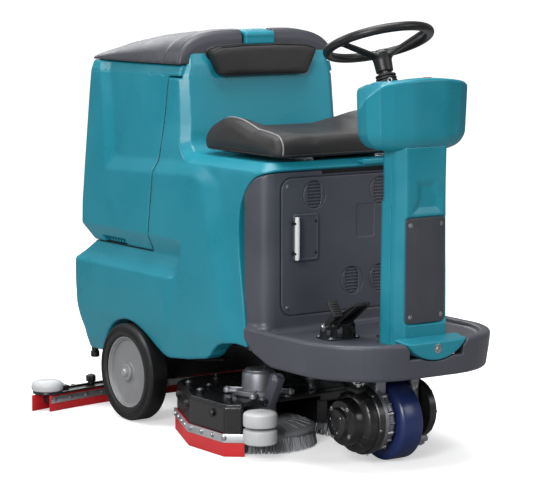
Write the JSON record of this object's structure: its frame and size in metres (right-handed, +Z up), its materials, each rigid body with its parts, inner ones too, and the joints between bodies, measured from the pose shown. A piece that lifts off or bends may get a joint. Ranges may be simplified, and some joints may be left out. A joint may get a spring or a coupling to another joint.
{
  "type": "floor scrubber machine",
  "caption": "Ride-on floor scrubber: steered front drive wheel, lifting disc-brush scrub head, towed curved squeegee, tip-back recovery tank, sliding seat, step-through platform.",
  "frame": {"origin": "on the floor, in the middle of the machine's length and width", "axes": "+Z up; the nose and the steering column are at -Y, the squeegee at +Y; the seated operator's left hand is at +X"},
  "size_m": [1.016, 1.452, 1.2377],
  "materials": {
    "teal_plastic": "satin moulded polyethylene",
    "grey_plastic": "fine-grained moulded plastic",
    "black_plastic": "satin black plastic",
    "black_paint": "black powder coat on steel",
    "vinyl": "matt black seat vinyl with welded seams",
    "red_rubber": "semi-matt red squeegee rubber",
    "black_rubber": "matt black rubber",
    "steel": "brushed zinc-plated steel",
    "casting": "as-cast aluminium",
    "blue_tyre": "solid blue polyurethane tread",
    "black_tyre": "solid black rubber tyre",
    "rim_grey": "grey moulded wheel disc",
    "pale_grey": "pale grey plastic",
    "bristle": "grey nylon bristle in a grey block",
    "red_plastic": "gloss red plastic"
  },
  "bodies": {
    "chassis": {"chassis_frame": "black_paint", "rear_axle": "steel", "solution_tank": "teal_plastic", "platform_shroud": "grey_plastic", "access_panel": "grey_plastic", "battery_pack": "black_plastic", "column_front_cover": "teal_plastic", "column_rear_cover": "teal_plastic", "column_panel": "grey_plastic", "console_housing": "teal_plastic", "console_dash": "black_plastic", "steering_boot": "black_rubber", "pedal_base": "black_paint", "deck_actuator": "black_plastic", "vacuum_hose": "black_rubber", "back_cushion": "vinyl"},
    "rear_wheel_right": {"rear_tyre_right": "black_tyre", "rear_rim_right": "rim_grey"},
    "rear_wheel_left": {"rear_tyre_left": "black_tyre", "rear_rim_left": "rim_grey"},
    "drive_unit": {"steering_fork": "steel", "drive_gearbox": "casting", "drive_motor_cover": "black_paint", "drive_brake": "black_paint"},
    "drive_wheel": {"drive_tyre": "blue_tyre", "drive_hub": "casting"},
    "steering": {"steering_wheel": "black_plastic", "steering_shaft": "steel"},
    "scrub_head": {"deck_housing": "black_paint", "skirt_right": "red_rubber", "skirt_left": "red_rubber", "skirt_band_right": "steel", "skirt_band_left": "steel", "brush_motor_right": "casting", "brush_motor_left": "casting"},
    "disc_brush_right": {"brush_right": "bristle"},
    "disc_brush_left": {"brush_left": "bristle"},
    "bumper_right": {"deck_roller_right": "pale_grey"},
    "squeegee_arm": {"squeegee_tow_arm": "black_paint"},
    "squeegee": {"squeegee_frame": "black_paint", "squeegee_blade_rear": "red_rubber", "squeegee_blade_front": "red_rubber"},
    "knob_right": {"squeegee_knob_right": "black_plastic"},
    "knob_left": {"squeegee_knob_left": "black_plastic"},
    "squeegee_wheel_right": {"squeegee_roller_right": "pale_grey"},
    "squeegee_wheel_left": {"squeegee_roller_left": "pale_grey"},
    "tank": {"recovery_tank": "teal_plastic", "vacuum_motor": "black_plastic"},
    "lid": {"tank_lid": "grey_plastic"},
    "latch": {"lid_latch": "teal_plastic"},
    "seat": {"seat_cushion": "vinyl", "seat_slide": "steel"},
    "slide_lever": {"seat_lever": "black_plastic"},
    "go_pedal": {"drive_pedal": "black_plastic"},
    "stop_pedal": {"brake_pedal": "black_plastic"},
    "service_hatch": {"hatch_cover": "grey_plastic", "hatch_handle": "pale_grey"},
    "key": {"key_switch": "steel"},
    "stop": {"stop_button": "red_plastic"}
  },
  "joints": [
    {"name": "rear_wheel_right_spin", "type": "hinge", "parent": "chassis", "child": "rear_wheel_right", "pos_m": [-0.3075, 0.377, 0.14943], "axis": [1, 0, 0], "continuous": true},
    {"name": "rear_wheel_left_spin", "type": "hinge", "parent": "chassis", "child": "rear_wheel_left", "pos_m": [0.3075, 0.377, 0.14943], "axis": [1, 0, 0], "continuous": true},
    {"name": "drive_unit_steer", "type": "hinge", "parent": "chassis", "child": "drive_unit", "pos_m": [0, -0.507, 0.27], "axis": [0, 0, 1], "range_deg": [-70, 70]},
    {"name": "drive_wheel_spin", "type": "hinge", "parent": "drive_unit", "child": "drive_wheel", "pos_m": [0, -0.507, 0.11257], "axis": [1, 0, 0], "continuous": true},
    {"name": "steering_wheel_turn", "type": "hinge", "parent": "chassis", "child": "steering", "pos_m": [0, -0.445, 1.176], "axis": [0, 0.342, 0.9397], "range_deg": [-280, 280]},
    {"name": "scrub_head_lift", "type": "slide", "parent": "chassis", "child": "scrub_head", "axis": [0, 0, 1], "range_m": [0, 0.05]},
    {"name": "brush_right_spin", "type": "hinge", "parent": "scrub_head", "child": "disc_brush_right", "pos_m": [-0.188, -0.126, 0.05], "axis": [0, 0, 1], "continuous": true},
    {"name": "brush_left_spin", "type": "hinge", "parent": "scrub_head", "child": "disc_brush_left", "pos_m": [0.188, -0.126, 0.05], "axis": [0, 0, 1], "continuous": true},
    {"name": "bumper_right_spin", "type": "hinge", "parent": "scrub_head", "child": "bumper_right", "pos_m": [-0.312, -0.313, 0.09], "axis": [0, 0, 1], "continuous": true},
    {"name": "squeegee_swing", "type": "hinge", "parent": "chassis", "child": "squeegee_arm", "pos_m": [0, 0.472, 0.186], "axis": [0, 0, 1], "range_deg": [-12, 12]},
    {"name": "squeegee_lift", "type": "hinge", "parent": "squeegee_arm", "child": "squeegee", "pos_m": [0, 0.522, 0.118], "axis": [1, 0, 0], "range_deg": [0, 12]},
    {"name": "squeegee_knob_right_turn", "type": "hinge", "parent": "squeegee", "child": "knob_right", "pos_m": [-0.284, 0.677, 0.075], "axis": [0, 0, 1], "continuous": true},
    {"name": "squeegee_knob_left_turn", "type": "hinge", "parent": "squeegee", "child": "knob_left", "pos_m": [0.284, 0.677, 0.075], "axis": [0, 0, 1], "continuous": true},
    {"name": "squeegee_wheel_right_spin", "type": "hinge", "parent": "squeegee", "child": "squeegee_wheel_right", "pos_m": [-0.45, 0.665, 0.07], "axis": [0, 0, 1], "continuous": true},
    {"name": "squeegee_wheel_left_spin", "type": "hinge", "parent": "squeegee", "child": "squeegee_wheel_left", "pos_m": [0.45, 0.665, 0.07], "axis": [0, 0, 1], "continuous": true},
    {"name": "recovery_tank_tip", "type": "hinge", "parent": "chassis", "child": "tank", "pos_m": [0, 0.659, 0.531], "axis": [-1, 0, 0], "range_deg": [0, 40]},
    {"name": "lid_open", "type": "hinge", "parent": "tank", "child": "lid", "pos_m": [0, 0.639, 1.0966], "axis": [-1, 0, 0], "range_deg": [0, 75]},
    {"name": "latch_lift", "type": "hinge", "parent": "lid", "child": "latch", "pos_m": [0, 0.209, 1.192], "axis": [-1, 0, 0], "range_deg": [0, 45]},
    {"name": "seat_slide_move", "type": "slide", "parent": "chassis", "child": "seat", "axis": [0, 1, 0], "range_m": [-0.045, 0.03]},
    {"name": "seat_lever_pull", "type": "hinge", "parent": "seat", "child": "slide_lever", "pos_m": [0.16, -0.263, 0.845], "axis": [0, 0, 1], "range_deg": [0, 12]},
    {"name": "drive_pedal_press", "type": "hinge", "parent": "chassis", "child": "go_pedal", "pos_m": [-0.126, -0.453, 0.386], "axis": [1, 0, 0], "range_deg": [0, 12], "stiffness_Nm_per_rad": 40},
    {"name": "brake_pedal_press", "type": "hinge", "parent": "chassis", "child": "stop_pedal", "pos_m": [-0.176, -0.453, 0.386], "axis": [1, 0, 0], "range_deg": [0, 12], "stiffness_Nm_per_rad": 40},
    {"name": "service_hatch_open", "type": "hinge", "parent": "chassis", "child": "service_hatch", "pos_m": [-0.106, -0.3131, 0.623], "axis": [0, 0, 1], "range_deg": [0, 100]},
    {"name": "key_turn", "type": "hinge", "parent": "chassis", "child": "key", "pos_m": [-0.066, -0.583, 1.07], "axis": [0, 0, 1], "range_deg": [-90, 0]},
    {"name": "stop_button_press", "type": "slide", "parent": "chassis", "child": "stop", "axis": [0, 0, -1], "range_m": [0, 0.005], "stiffness_N_per_m": 3000}
  ],
  "couplings": [
    {"joint": "steering_wheel_turn", "follows": "drive_unit_steer", "ratio": 4}
  ]
}
